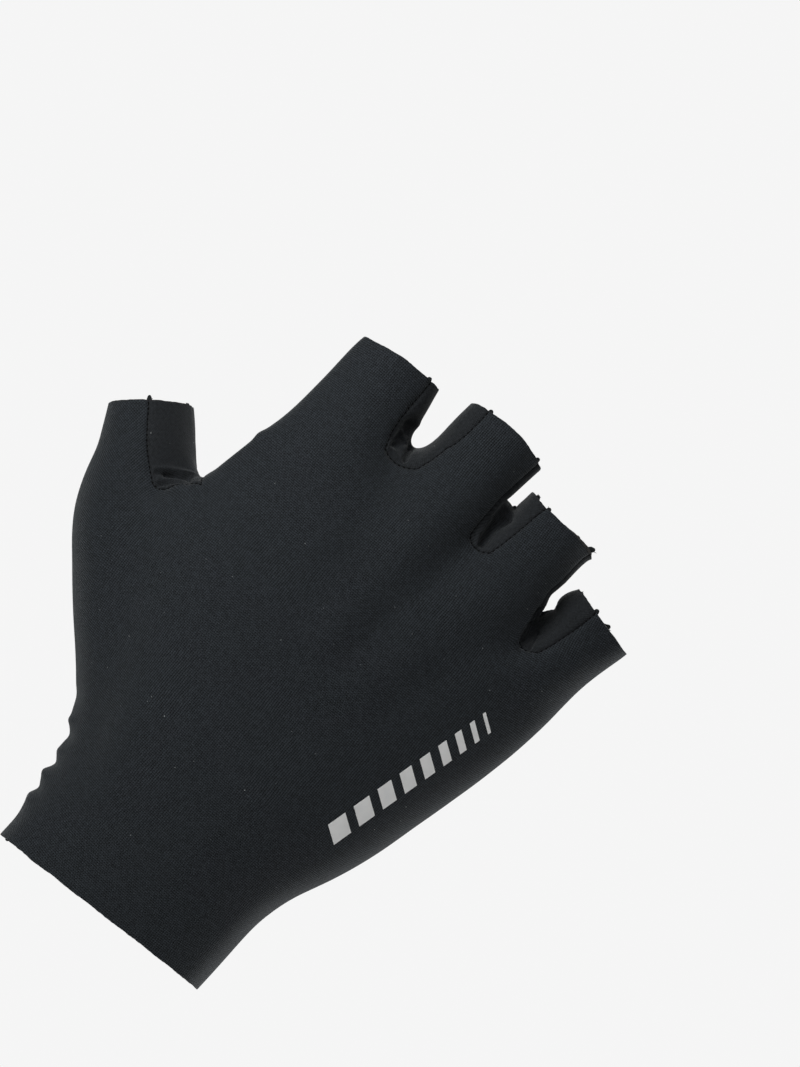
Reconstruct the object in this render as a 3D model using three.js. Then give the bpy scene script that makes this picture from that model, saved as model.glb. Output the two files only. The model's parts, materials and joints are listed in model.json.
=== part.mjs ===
// A short-finger cycling glove for the right hand, in the stretched shape that it has when worn.
// It is cut from thin stretch cloth and sewn from six panels: the back, the palm, a gusset
// on the inner side of the thumb and three fourchettes, the strips between the fingers.
//
// Millimetres. The origin is the middle of the cuff's mouth, where the wrist goes in.
// +Z runs from the wrist to the fingers, -Y is the back of the hand, -X is the thumb's side.

import * as THREE from "three";

const CLOTH = 1.0; // thickness of every panel
const SEAM_GAP = 0.3; // clear space between two panels along their seam
const ROUNDNESS = 2.4; // exponent of the palm's rounded cross-sections
const CUFF_RISE = 2.4; // how much higher the cuff is cut over the back of the wrist
const EDGE_INSET = 2.2; // from the little finger's side of the palm to its first seam column

// A table as a list of rows, each with its values under the names of their columns.
function table(columns, ...rows) {
  return rows.map((row) => Object.fromEntries(row.map((value, i) => [columns[i], value])));
}

// Cross-sections of the palm from the cuff to the knuckles. zThumb and zLittle are the
// section's heights at its two sides, left and right its widest points, firstBack and
// firstPalm the places of its first columns, back and palm the heights of its two faces,
// and skew how far it leans down towards the little finger.
const PALM_SECTIONS = table(
  ["zThumb", "zLittle", "left", "right", "firstBack", "firstPalm", "back", "palm", "skew"],
  [-0.9, 0.8, -27.7, 27.8, -17.8, -17.0, -19.0, 19.0, 0.0],
  [5.8, 6.2, -27.7, 28.0, -17.8, -16.0, -19.0, 19.0, 0.0],
  [12.4, 12.2, -27.7, 28.2, -17.6, -14.5, -19.0, 19.0, 0.0],
  [18.8, 18.4, -28.4, 28.4, -17.5, -13.0, -19.2, 19.0, 0.0],
  [25.0, 24.5, -29.5, 29.4, -18.0, -12.0, -19.6, 19.3, 0.2],
  [32.0, 31.0, -31.0, 31.5, -19.5, -11.5, -20.0, 20.0, 0.5],
  [40.0, 38.5, -33.0, 35.0, -22.5, -12.0, -20.2, 21.0, 0.8],
  [50.0, 48.0, -36.0, 38.7, -27.0, -15.0, -20.0, 21.5, 1.2],
  [62.0, 58.0, -40.0, 41.5, -33.0, -22.0, -19.5, 21.0, 1.6],
  [75.0, 69.0, -43.0, 44.2, -38.5, -31.0, -19.0, 18.5, 2.0],
  [87.6, 80.0, -44.3, 46.8, -43.3, -41.8, -18.3, 16.0, 2.3],
  [96.0, 87.5, -41.9, 48.2, -40.6, -38.4, -17.6, 14.5, 2.5],
  [105.0, 95.0, -40.1, 49.2, -38.3, -35.8, -16.8, 13.5, 2.5],
);

// Cross-sections of the thumb and the ball below it, one for each palm section up to the
// web, then two for the thumb's own sleeve. x and z place the section's outer edge and y its
// middle; lean tips it towards the thumb's side and rise lifts it over the back. It covers the
// angles from one to the other, counted from the back of the hand round by the thumb's side.
const THUMB_SECTIONS = table(
  ["x", "y", "z", "halfWidth", "halfDepth", "lean", "rise", "from", "to"],
  [-27.7, 0.0, -0.9, 14.0, 17.5, 0.0, 0.0, 45, 140],
  [-27.5, 0.0, 5.8, 14.0, 17.5, 1.0, 0.0, 45, 142],
  [-27.6, 0.5, 12.3, 14.5, 17.5, 3.0, 0.0, 43, 147],
  [-28.4, 1.0, 18.9, 15.0, 17.5, 5.0, 0.0, 40, 155],
  [-30.3, 2.0, 26.1, 15.5, 17.5, 8.0, 0.0, 35, 165],
  [-34.0, 3.5, 32.1, 16.0, 17.5, 12.0, 0.0, 28, 180],
  [-40.0, 5.5, 39.2, 16.0, 17.5, 16.0, 0.0, 20, 200],
  [-47.4, 7.5, 46.6, 15.5, 17.0, 20.0, 0.0, 10, 220],
  [-55.5, 8.5, 55.7, 14.5, 16.0, 23.0, 0.0, 0, 235],
  [-62.5, 8.5, 64.6, 13.0, 14.5, 25.0, 0.0, -10, 250],
  [-66.4, 8.5, 74.7, 11.5, 12.3, 22.0, 0.0, -22, 265],
  [-68.0, 9.0, 80.1, 11.1, 11.2, 33.0, 0.3, -3, 272],
  [-71.5, 10.0, 87.4, 9.8, 10.2, 37.5, 1.2, 0, 280],
);
const WEB_SECTION = 10; // the palm section at whose height the thumb leaves the hand
const THUMB_COLUMNS = 7; // points of a thumb section below the web
const THUMB_WEB = {
  thumbSide: { x: -46.0, y: 3.0, z: 88.4 },
  handSide: { x: -43.8, y: 1.2, z: 88.4 },
};

// The four finger sleeves. x, y and z are the middle of the opening, cutLean and cutTilt how
// its plane is turned, roll how far its back faces the little finger's side. The next ring
// lies a step further down, shifted sideways, wider by the given amount and turned by rollBelow.
// The share of the palm's width below each finger runs from first to last, and knuckle holds
// the sleeve's crests where it leaves the palm.
const FINGERS = [
  {
    name: "index", x: -26.4, y: -3.0, z: 136.3, cutLean: -4.6, cutTilt: 5, lean: 1, flex: 4,
    width: 20.5, depth: 19.5, roll: -3, step: 6.0, shift: 0.5, wider: 1.9, rollBelow: -12,
    first: 0.0, last: 0.28, knuckle: { x: -26.5, z: 116.5, back: -14.8, palm: 9.0 },
  },
  {
    name: "middle", x: 1.6, y: -4.0, z: 138.8, cutLean: 3.0, cutTilt: 11, lean: 3, flex: 5,
    width: 21.5, depth: 19.5, roll: 17, step: 7.0, shift: -0.4, wider: -0.3, rollBelow: 17,
    first: 0.335, last: 0.54, knuckle: { x: 1.0, z: 117.5, back: -16.6, palm: 10.8 },
  },
  {
    name: "ring", x: 23.8, y: -2.5, z: 131.7, cutLean: 6.7, cutTilt: 1, lean: 6, flex: 5,
    width: 19.2, depth: 18.5, roll: 21, step: 4.0, shift: -0.6, wider: -0.2, rollBelow: 21,
    first: 0.59, last: 0.78, knuckle: { x: 23.3, z: 111.5, back: -14.8, palm: 11.2 },
  },
  {
    name: "little", x: 44.5, y: 1.5, z: 121.4, cutLean: 14.0, cutTilt: -1, lean: 10, flex: 4,
    width: 18.0, depth: 17.0, roll: 38, step: 4.5, shift: -0.6, wider: 0.7, rollBelow: 42,
    first: 0.83, last: 1.0, knuckle: { x: 42.8, z: 104.5, back: -10.2, palm: 11.2 },
  },
];
const SEAM_ANGLE = 57; // from the middle of a finger's back to its seams
const PALM_SEAM_ANGLE = 128; // the same for the seams on the palm's side

// The webs between the fingers: the feet of the two sleeves on the back, at the top of the web
// half way through, and on the palm.
const WEBS = [
  {
    back: { y: -11.6, xLeft: -17.0, zLeft: 120.0, xRight: -9.0, zRight: 121.2 },
    top: { y: -2.0, xLeft: -13.6, zLeft: 124.8, xRight: -10.8, zRight: 125.4 },
    palm: { y: 7.2, xLeft: -16.8, zLeft: 120.6, xRight: -8.6, zRight: 121.0 },
  },
  {
    back: { y: -12.4, xLeft: 10.4, zLeft: 117.0, xRight: 15.2, zRight: 117.0 },
    top: { y: -2.0, xLeft: 10.9, zLeft: 127.6, xRight: 13.2, zRight: 127.0 },
    palm: { y: 7.6, xLeft: 10.6, zLeft: 118.4, xRight: 15.4, zRight: 118.2 },
  },
  {
    back: { y: -9.2, xLeft: 33.0, zLeft: 106.4, xRight: 38.2, zRight: 106.6 },
    top: { y: 0.5, xLeft: 30.9, zLeft: 114.6, xRight: 33.6, zRight: 114.6 },
    palm: { y: 9.0, xLeft: 33.0, zLeft: 107.6, xRight: 38.0, zRight: 107.6 },
  },
];
const INDEX_SIDE = { x: -38.4, y: -2.5, z: 114.5, seam: 2.2, back: -9.4, palm: 5.6 };
const LITTLE_SIDE = { x: 49.6, y: 1.8, z: 101.5, seam: 1.8, back: -4.6, palm: 8.2 };

// Folds of the cloth: gathers on the thumb's side of the wrist and one on the index's side.
// Each is a ridge across the hand's side, of the given width along it and given height.
const FOLDS = table(
  ["x", "y", "z", "width", "reach", "height"],
  [-28.6, 0.0, 9.3, 6.4, 15, 1.2],
  [-29.6, 0.0, 15.5, 6.4, 16, 1.7],
  [-30.4, 0.0, 21.9, 6.4, 15, 1.4],
  [-32.4, 0.0, 28.6, 6.4, 12, 1.0],
  [-41.8, 0.0, 104.5, 7.0, 7, 1.0],
);

const FIT_ROUNDS = 8; // rounds in which the smoothed surface is pulled back onto its sections

const radians = THREE.MathUtils.degToRad;
const mix = THREE.MathUtils.lerp;
const point = (x, y, z) => new THREE.Vector3(x, y, z);

// The glove's surface as four-sided faces, each carrying the name of the panel it belongs to.
const points = [];
const faces = [];

function add(vertex) {
  points.push(vertex);
  return points.length - 1;
}

function addFace(corners, panel) {
  faces.push({ corners, panel });
}

// Joins two rings of points with a band of faces, one panel name for each face.
function addBand(lower, upper, panels) {
  lower.forEach((corner, i) => {
    const next = (i + 1) % lower.length;
    addFace([corner, lower[next], upper[next], upper[i]], panels[i]);
  });
}

// Repeats each panel name the given number of times: runs("back", 3, "palm", 2).
function runs(...pairs) {
  const names = [];
  for (let i = 0; i < pairs.length; i += 2) {
    names.push(...Array(pairs[i + 1]).fill(pairs[i]));
  }
  return names;
}

// Shares of the palm's width at which its twelve columns run, three below each finger.
const COLUMN_SHARES = FINGERS.flatMap((f) => [f.first, (f.first + f.last) / 2, f.last]);

// A point on one face of a palm section, at the given share of the way across it.
function palmPoint(section, share, side) {
  const centre = (section.left + section.right) / 2;
  const halfWidth = (section.right - section.left) / 2;
  const first = side === "back" ? section.firstBack : section.firstPalm;
  const x = mix(first, section.right - EDGE_INSET, share);
  const across = (x - centre) / halfWidth;
  const swell = (1 - Math.abs(across) ** ROUNDNESS) ** (1 / ROUNDNESS);
  const level = (section.back + section.palm) / 2;
  const y = mix(level, section[side], swell) + section.skew * across;
  return point(x, y, mix(section.zThumb, section.zLittle, share));
}

// The palm's columns in order: across the back, round the little finger's side, and back.
function palmArc(section) {
  const back = COLUMN_SHARES.map((share) => add(palmPoint(section, share, "back")));
  const level = (section.back + section.palm) / 2 + section.skew;
  const side = add(point(section.right, level, section.zLittle));
  const palm = COLUMN_SHARES.map((share) => add(palmPoint(section, share, "palm")));
  return [...back, side, ...palm.reverse()];
}

// The point of a thumb section at the given angle.
function thumbPoint(section, degrees) {
  const lean = radians(section.lean);
  const outward = point(Math.cos(lean), 0, Math.sin(lean));
  const centre = point(section.x, section.y, section.z).addScaledVector(outward, section.halfWidth);
  const angle = radians(degrees);
  const along = point(-outward.z, 0, outward.x).multiplyScalar(section.rise * Math.cos(angle));
  const swung = outward.multiplyScalar(-section.halfWidth * Math.sin(angle));
  return centre.add(swung).add(along).add(point(0, -section.halfDepth * Math.cos(angle), 0));
}

// The thumb's columns in order, from the palm round the outer side to the back.
function thumbArc(section) {
  const steps = Array.from({ length: THUMB_COLUMNS }, (_, i) => i / (THUMB_COLUMNS - 1));
  return steps.map((step) => add(thumbPoint(section, mix(section.to, section.from, step))));
}

// A ring of eight points round a finger: its back, little finger's side, palm, thumb's side.
function sleeveRing(finger, below) {
  const share = below / finger.step;
  const axis = point(0, 0, 1).applyEuler(new THREE.Euler(radians(-finger.flex), radians(finger.lean), 0));
  const centre = point(finger.x + finger.shift * share, finger.y, finger.z).addScaledVector(axis, -below);
  const tilt = mix(finger.cutTilt, finger.flex, share);
  const lean = mix(finger.cutLean, finger.lean, share);
  const roll = mix(finger.roll, finger.rollBelow, share);
  const width = finger.width + finger.wider * share;
  const turn = new THREE.Euler(radians(-tilt), radians(lean), 0, "YXZ");
  const angles = [-SEAM_ANGLE, 0, SEAM_ANGLE, 90, PALM_SEAM_ANGLE, 180, -PALM_SEAM_ANGLE, -90];
  return angles.map((degrees) => {
    const angle = radians(degrees + roll);
    const spoke = point((Math.sin(angle) * width) / 2, (-Math.cos(angle) * finger.depth) / 2, 0);
    return add(spoke.applyEuler(turn).add(centre));
  });
}

// The hand below the thumb's web: rings of palm and thumb columns from the cuff up. Counted
// from the index's side, the back panel takes the back's columns and the little finger's side,
// the palm panel the palm's columns and the first two of the thumb, and the back panel the rest.
function buildLowerHand() {
  const rings = PALM_SECTIONS.slice(0, WEB_SECTION + 1).map((section, i) => [
    ...palmArc(section),
    ...thumbArc(THUMB_SECTIONS[i]),
  ]);
  rings[0].forEach((corner) => {
    const vertex = points[corner];
    vertex.z += CUFF_RISE * Math.max(0, -vertex.y / PALM_SECTIONS[0].palm);
  });
  const panels = runs("back_panel", 13, "palm_panel", 14, "back_panel", 5);
  rings.slice(1).forEach((ring, i) => addBand(rings[i], ring, panels));
  return rings[WEB_SECTION];
}

// The thumb's sleeve above the web, with the gusset on its inner side.
function buildThumb(webRing) {
  const arc = webRing.slice(-THUMB_COLUMNS);
  const inner = add(point(THUMB_WEB.thumbSide.x, THUMB_WEB.thumbSide.y, THUMB_WEB.thumbSide.z));
  let lower = [...arc, inner];
  const panels = runs("palm_panel", 2, "back_panel", 4, "thumb_gusset", 2);
  THUMB_SECTIONS.slice(WEB_SECTION + 1).forEach((section) => {
    const innerAngle = (section.from + section.to - 360) / 2;
    const upper = [...thumbArc(section), add(thumbPoint(section, innerAngle))];
    addBand(lower, upper, panels);
    lower = upper;
  });
  return inner;
}

// The hand between the thumb's web and the fingers, whose last two columns close the index's
// side. Returns its topmost ring.
function buildUpperHand(webRing, thumbInner) {
  const arc = webRing.slice(0, -THUMB_COLUMNS);
  const outer = webRing.slice(-THUMB_COLUMNS);
  const side = add(point(THUMB_WEB.handSide.x, THUMB_WEB.handSide.y, THUMB_WEB.handSide.z));
  addFace([outer.at(-1), arc[0], side, thumbInner], "thumb_gusset");
  addFace([thumbInner, side, arc.at(-1), outer[0]], "thumb_gusset");

  const panels = runs("back_panel", 13, "palm_panel", 11, "back_panel", 2);
  let lower = [...arc, side];
  PALM_SECTIONS.slice(WEB_SECTION + 1).forEach((section) => {
    const level = (section.back + section.palm) / 2 - section.skew;
    const edge = add(point(section.left, level, section.zThumb));
    const upper = [...palmArc(section), edge];
    addBand(lower, upper, panels);
    lower = upper;
  });
  const top = knuckleRing();
  addBand(lower, [...top.back, top.littleSide, ...top.palm.toReversed(), top.indexSide], panels);
  return top;
}

const leftFoot = (line) => point(line.xLeft, line.y, line.zLeft);
const rightFoot = (line) => point(line.xRight, line.y, line.zRight);

// The ring from which the finger sleeves rise: three points below each on the back and on the
// palm, one on each outer side.
function knuckleRing() {
  const edges = [INDEX_SIDE, LITTLE_SIDE];
  const inward = [1, -1];
  const feet = (side) =>
    FINGERS.flatMap(({ knuckle }, i) => {
      const thumbSide = i > 0 ? rightFoot(WEBS[i - 1][side]) : edgeFoot(0, side);
      const littleSide = i < WEBS.length ? leftFoot(WEBS[i][side]) : edgeFoot(1, side);
      return [add(thumbSide), add(point(knuckle.x, knuckle[side], knuckle.z)), add(littleSide)];
    });
  const edgeFoot = (i, side) => point(edges[i].x + inward[i] * edges[i].seam, edges[i][side], edges[i].z);
  return {
    back: feet("back"),
    palm: feet("palm"),
    indexSide: add(point(INDEX_SIDE.x, INDEX_SIDE.y, INDEX_SIDE.z)),
    littleSide: add(point(LITTLE_SIDE.x, LITTLE_SIDE.y, LITTLE_SIDE.z)),
  };
}

// The finger sleeves and the webs between them.
function buildFingers(top) {
  const webTops = WEBS.map((web, i) => {
    const left = add(leftFoot(web.top));
    const right = add(rightFoot(web.top));
    const panel = fourchetteName(i);
    const near = 3 * i + 2;
    addFace([top.back[near], top.back[near + 1], right, left], panel);
    addFace([left, right, top.palm[near + 1], top.palm[near]], panel);
    return { left, right };
  });
  FINGERS.forEach((finger, i) => {
    const littleSide = i < WEBS.length ? webTops[i].left : top.littleSide;
    const thumbSide = i > 0 ? webTops[i - 1].right : top.indexSide;
    const back = top.back.slice(3 * i, 3 * i + 3);
    const palm = top.palm.slice(3 * i, 3 * i + 3).reverse();
    const foot = [...back, littleSide, ...palm, thumbSide];
    const ring = sleeveRing(finger, finger.step);
    const opening = sleeveRing(finger, 0);
    const right = i < WEBS.length ? fourchetteName(i) : "back_panel";
    const left = i > 0 ? fourchetteName(i - 1) : "back_panel";
    const panels = runs("back_panel", 2, right, 2, "palm_panel", 2, left, 2);
    addBand(foot, ring, panels);
    addBand(ring, opening, panels);
  });
}

function fourchetteName(web) {
  return "fourchette_" + FINGERS[web].name + "_" + FINGERS[web + 1].name;
}

// The edges of a set of faces, each with its two ends and the faces beside it.
function edgesOf(someFaces) {
  const edges = new Map();
  someFaces.forEach((face, index) => {
    face.corners.forEach((from, i) => {
      const to = face.corners[(i + 1) % 4];
      const key = Math.min(from, to) + ":" + Math.max(from, to);
      if (!edges.has(key)) edges.set(key, { from, to, beside: [] });
      edges.get(key).beside.push(index);
    });
  });
  return edges;
}

function average(vectors) {
  const sum = vectors.reduce((total, v) => total.add(v), point(0, 0, 0));
  return sum.divideScalar(vectors.length);
}

// Where smoothing moves each point of the surface: a border keeps to its own curve.
function smoothedPoints(places, edges, faceCentres) {
  const around = places.map(() => ({ faces: new Set(), middles: [], border: [] }));
  for (const { from, to, beside } of edges.values()) {
    const middle = average([places[from], places[to]]);
    [from, to].forEach((end) => {
      around[end].middles.push(middle);
      beside.forEach((face) => around[end].faces.add(face));
      if (beside.length === 1) around[end].border.push(middle);
    });
  }
  return places.map((place, i) => {
    const { faces: near, middles, border } = around[i];
    if (border.length) return average([place, place, border[0], border[1]]);
    const centre = average([...near].map((face) => faceCentres[face]));
    const count = middles.length;
    const moved = centre.addScaledVector(average(middles), 2).addScaledVector(place, count - 3);
    return moved.divideScalar(count);
  });
}

// The smoothed surface passes through its own points: the cage is moved until it does.
function fittedCage(targets, edges) {
  let cage = targets.map((target) => target.clone());
  for (let round = 0; round < FIT_ROUNDS; round += 1) {
    const centres = faces.map((face) => average(face.corners.map((c) => cage[c])));
    const smoothed = smoothedPoints(cage, edges, centres);
    cage = cage.map((place, i) => place.clone().add(targets[i]).sub(smoothed[i]));
  }
  return cage;
}

// One round of Catmull-Clark smoothing, which divides each face into four.
function smoothSurface() {
  const edges = edgesOf(faces);
  const cage = fittedCage(points, edges);
  const centres = faces.map((face) => average(face.corners.map((c) => cage[c])));
  const moved = smoothedPoints(cage, edges, centres);
  const places = [...moved];
  const centreIndex = centres.map((centre) => places.push(centre) - 1);
  const edgeIndex = new Map();
  for (const [key, { from, to, beside }] of edges) {
    const ends = [cage[from], cage[to]];
    const inner = beside.length === 2 ? beside.map((face) => centres[face]) : [];
    edgeIndex.set(key, places.push(average([...ends, ...inner])) - 1);
  }
  const middleOf = (from, to) => edgeIndex.get(Math.min(from, to) + ":" + Math.max(from, to));
  const quarters = faces.flatMap(({ corners, panel }, index) =>
    corners.map((corner, i) => {
      const next = middleOf(corner, corners[(i + 1) % 4]);
      const previous = middleOf(corners[(i + 3) % 4], corner);
      return { corners: [corner, next, centreIndex[index], previous], panel };
    }),
  );
  return { places, quarters };
}

function faceNormal(places, corners) {
  const [a, b, c, d] = corners.map((corner) => places[corner]);
  return c.clone().sub(a).cross(d.clone().sub(b));
}

function vertexNormals(places, someFaces) {
  const normals = places.map(() => point(0, 0, 0));
  someFaces.forEach(({ corners }) => {
    const normal = faceNormal(places, corners);
    corners.forEach((corner) => normals[corner].add(normal));
  });
  return normals.map((normal) => normal.normalize());
}

// Raises the folds out of the smoothed surface.
function raiseFolds(places, normals) {
  places.forEach((place, i) => {
    FOLDS.forEach((fold) => {
      const along = (place.z - fold.z) / (fold.width / 2);
      const aside = Math.hypot(place.x - fold.x, place.y - fold.y) / fold.reach;
      if (Math.abs(along) > 1 || aside > 1) return;
      const ridge = Math.cos((along * Math.PI) / 2) ** 2;
      const fade = Math.cos((aside * Math.PI) / 2) ** 2;
      place.addScaledVector(normals[i], fold.height * ridge * fade);
    });
  });
}

// One panel as a closed solid: its outer face, the same face moved inwards by the cloth's
// thickness, and a wall round its border. Along a seam the border stands back by half the gap.
function panelGeometry(name, places, normals, allFaces, seamCount) {
  const own = allFaces.filter((face) => face.panel === name);
  const edges = edgesOf(own);
  const border = [];
  const back = new Map();
  for (const [key, { from, to, beside }] of edges) {
    if (beside.length === 2) continue;
    border.push([from, to]);
    if (seamCount.get(key) < 2) continue;
    const along = places[to].clone().sub(places[from]).normalize();
    [from, to].forEach((end) => {
      const inward = normals[end].clone().cross(along).normalize();
      back.set(end, (back.get(end) ?? point(0, 0, 0)).add(inward));
    });
  }
  const used = [...new Set(own.flatMap((face) => face.corners))];
  const outer = new Map();
  const inner = new Map();
  const vertices = [];
  used.forEach((corner) => {
    const place = places[corner].clone();
    if (back.has(corner)) place.addScaledVector(back.get(corner).normalize(), SEAM_GAP / 2);
    outer.set(corner, vertices.push(place) - 1);
    inner.set(corner, vertices.push(place.clone().addScaledVector(normals[corner], -CLOTH)) - 1);
  });
  const triangles = [];
  const addQuad = (a, b, c, d) => {
    const short = vertices[a].distanceTo(vertices[c]) <= vertices[b].distanceTo(vertices[d]);
    triangles.push(...(short ? [a, b, c, a, c, d] : [a, b, d, b, c, d]));
  };
  own.forEach(({ corners }) => {
    addQuad(...corners.map((c) => outer.get(c)));
    addQuad(...corners.toReversed().map((c) => inner.get(c)));
  });
  border.forEach(([from, to]) => {
    addQuad(outer.get(to), outer.get(from), inner.get(from), inner.get(to));
  });
  const geometry = new THREE.BufferGeometry().setFromPoints(vertices);
  geometry.setIndex(triangles);
  return geometry;
}

const webRing = buildLowerHand();
const thumbInner = buildThumb(webRing);
buildFingers(buildUpperHand(webRing, thumbInner));

const { places, quarters } = smoothSurface();
raiseFolds(places, vertexNormals(places, quarters));
const normals = vertexNormals(places, quarters);
const seamCount = new Map([...edgesOf(quarters)].map(([key, edge]) => [key, edge.beside.length]));

// The back, sides and thumb are a matt black knit; the strips between the fingers are a finer
// one, and the palm is a plain suede-like cloth.
const knit = { color: 0x202325, roughness: 0.85, metalness: 0 };
const fineKnit = { color: 0x1c1d1f, roughness: 0.8, metalness: 0 };
const suede = { color: 0x1b1c1e, roughness: 0.95, metalness: 0 };
const PANELS = [
  { name: "back_panel", cloth: knit },
  { name: "palm_panel", cloth: suede },
  { name: "thumb_gusset", cloth: fineKnit },
  ...WEBS.map((_, i) => ({ name: fourchetteName(i), cloth: fineKnit })),
];

const glove = new THREE.Group();
PANELS.forEach(({ name, cloth }) => {
  const geometry = panelGeometry(name, places, normals, quarters, seamCount);
  const panel = new THREE.Mesh(geometry, new THREE.MeshStandardMaterial(cloth));
  panel.name = name;
  glove.add(panel);
});

export default glove;
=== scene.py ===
import json
import math
import random

import bmesh
import bpy
import numpy as np
from mathutils import Matrix, Vector, noise
from mathutils.kdtree import KDTree

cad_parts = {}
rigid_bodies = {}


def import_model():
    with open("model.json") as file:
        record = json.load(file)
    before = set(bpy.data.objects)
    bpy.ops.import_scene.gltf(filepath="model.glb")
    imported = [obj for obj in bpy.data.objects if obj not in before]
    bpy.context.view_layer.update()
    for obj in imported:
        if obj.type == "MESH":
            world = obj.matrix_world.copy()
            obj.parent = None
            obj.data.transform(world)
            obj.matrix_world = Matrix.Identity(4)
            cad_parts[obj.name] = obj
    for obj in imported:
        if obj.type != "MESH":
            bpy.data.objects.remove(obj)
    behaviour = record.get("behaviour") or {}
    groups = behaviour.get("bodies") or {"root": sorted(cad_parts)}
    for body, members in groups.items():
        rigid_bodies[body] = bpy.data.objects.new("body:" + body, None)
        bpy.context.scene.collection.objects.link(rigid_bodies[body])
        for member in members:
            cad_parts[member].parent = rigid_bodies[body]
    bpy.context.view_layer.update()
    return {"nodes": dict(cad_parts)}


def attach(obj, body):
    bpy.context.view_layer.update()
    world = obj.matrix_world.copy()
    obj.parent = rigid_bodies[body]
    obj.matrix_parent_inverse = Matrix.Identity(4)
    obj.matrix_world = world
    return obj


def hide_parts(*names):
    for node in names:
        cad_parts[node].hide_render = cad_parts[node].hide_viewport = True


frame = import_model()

# The skin. The glove is six cuts of thin stretch cloth, sewn edge to edge into one stretched skin.
# Each cut's outer face comes from the frame; it is laid out flat for the cloth's grain, then
# joined to the others, so that the smoothing and the folds run on across the seams.
MM = 0.001
CORNER_REACH = 0.01 * MM  # joins the faces of one cut, which are loose in the frame
SEAM_REACH = 0.5 * MM  # joins the edges of two cuts, up to 0.3 mm apart in the frame
UNWRAP_ROUNDS = 40
X, Y, Z = Vector((1, 0, 0)), Vector((0, 1, 0)), Vector((0, 0, 1))
CUTS = {  # where its outer face looks, where its ribs run up to, its edges' sharpness in degrees
    "back_panel": (-Y, Z, 55),
    "palm_panel": (Y, Z, 45),
    "thumb_gusset": (X - Y, Z, 55),
    "fourchette_index_middle": (Z, Y, 55),
    "fourchette_middle_ring": (Z, Y, 55),
    "fourchette_ring_little": (Z, Y, 55),
}


def take(piece):
    """Makes piece the only one selected, and the active one."""
    bpy.ops.object.select_all(action="DESELECT")
    piece.select_set(True)
    bpy.context.view_layer.objects.active = piece


def outer_face(node, outward, edge_angle):
    """A copy of a frame node's outer face, in quads, without its inner face and its edges."""
    piece = bpy.data.objects.new(f"cut_{node}", frame["nodes"][node].data.copy())
    bpy.context.collection.objects.link(piece)
    piece.data.materials.clear()
    piece.data.materials.append(bpy.data.materials.new(node))
    take(piece)
    bpy.ops.object.mode_set(mode="EDIT")
    bpy.ops.mesh.select_all(action="SELECT")
    bpy.ops.mesh.remove_doubles(threshold=CORNER_REACH)
    bpy.ops.mesh.select_mode(type="EDGE")
    bpy.ops.mesh.select_all(action="DESELECT")
    bpy.ops.mesh.edges_select_sharp(sharpness=math.radians(edge_angle))
    bpy.ops.mesh.mark_seam()
    bpy.ops.mesh.select_all(action="DESELECT")
    bpy.ops.object.mode_set(mode="OBJECT")
    broadest = max(piece.data.polygons, key=lambda face: face.area * face.normal.dot(outward))
    broadest.select = True
    bpy.ops.object.mode_set(mode="EDIT")
    bpy.ops.mesh.select_mode(type="FACE")
    bpy.ops.mesh.select_linked(delimit={"SEAM"})
    bpy.ops.mesh.select_all(action="INVERT")
    bpy.ops.mesh.delete(type="FACE")
    bpy.ops.mesh.select_all(action="SELECT")
    bpy.ops.mesh.mark_seam(clear=True)
    bpy.ops.mesh.tris_convert_to_quads(
        face_threshold=math.pi, shape_threshold=math.pi, topology_influence=2
    )
    bpy.ops.object.mode_set(mode="OBJECT")
    return piece


def lay_grain(piece, outward, upward):
    """Unwraps the cut as its flat pattern, in metres, with the cloth's ribs along upward."""
    take(piece)
    bpy.ops.object.mode_set(mode="EDIT")
    bpy.ops.mesh.select_all(action="SELECT")
    bpy.ops.uv.unwrap(method="MINIMUM_STRETCH", iterations=UNWRAP_ROUNDS)
    bpy.ops.object.mode_set(mode="OBJECT")
    mesh = piece.data
    pattern = mesh.uv_layers.active.data
    across = upward.cross(outward)
    turn, flat_area = 0j, 0
    for face in mesh.polygons:
        corners = [pattern[i].uv for i in face.loop_indices]
        places = [mesh.vertices[i].co for i in face.vertices]
        weight = max(0, face.normal.dot(outward))
        for k, corner in enumerate(corners):
            step = corner - corners[k - 1]
            real = places[k] - places[k - 1]
            flat_area += corners[k - 1].cross(corner) / 2
            turn += weight * complex(step.x, step.y).conjugate() * complex(
                real.dot(across), real.dot(upward)
            )
    real_area = sum(face.area for face in mesh.polygons)
    turn *= math.sqrt(real_area / abs(flat_area)) / abs(turn)
    for corner in pattern:
        turned = turn * complex(*corner.uv)
        corner.uv = (turned.real, turned.imag)


cuts = []
for node, (outward, upward, edge_angle) in CUTS.items():
    cut = outer_face(node, outward, edge_angle)
    lay_grain(cut, outward, upward)
    cuts.append(cut)
bpy.ops.object.select_all(action="DESELECT")
for cut in cuts:
    cut.select_set(True)
bpy.context.view_layer.objects.active = cuts[0]
bpy.ops.object.join()
skin = bpy.context.object
skin.name = "skin"
bpy.ops.object.mode_set(mode="EDIT")
bpy.ops.mesh.select_all(action="SELECT")
bpy.ops.mesh.remove_doubles(threshold=SEAM_REACH)
bpy.ops.object.mode_set(mode="OBJECT")
smoothing = skin.modifiers.new("smooth", "SUBSURF")
smoothing.levels = smoothing.render_levels = 2
bpy.ops.object.modifier_apply(modifier=smoothing.name)

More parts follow.
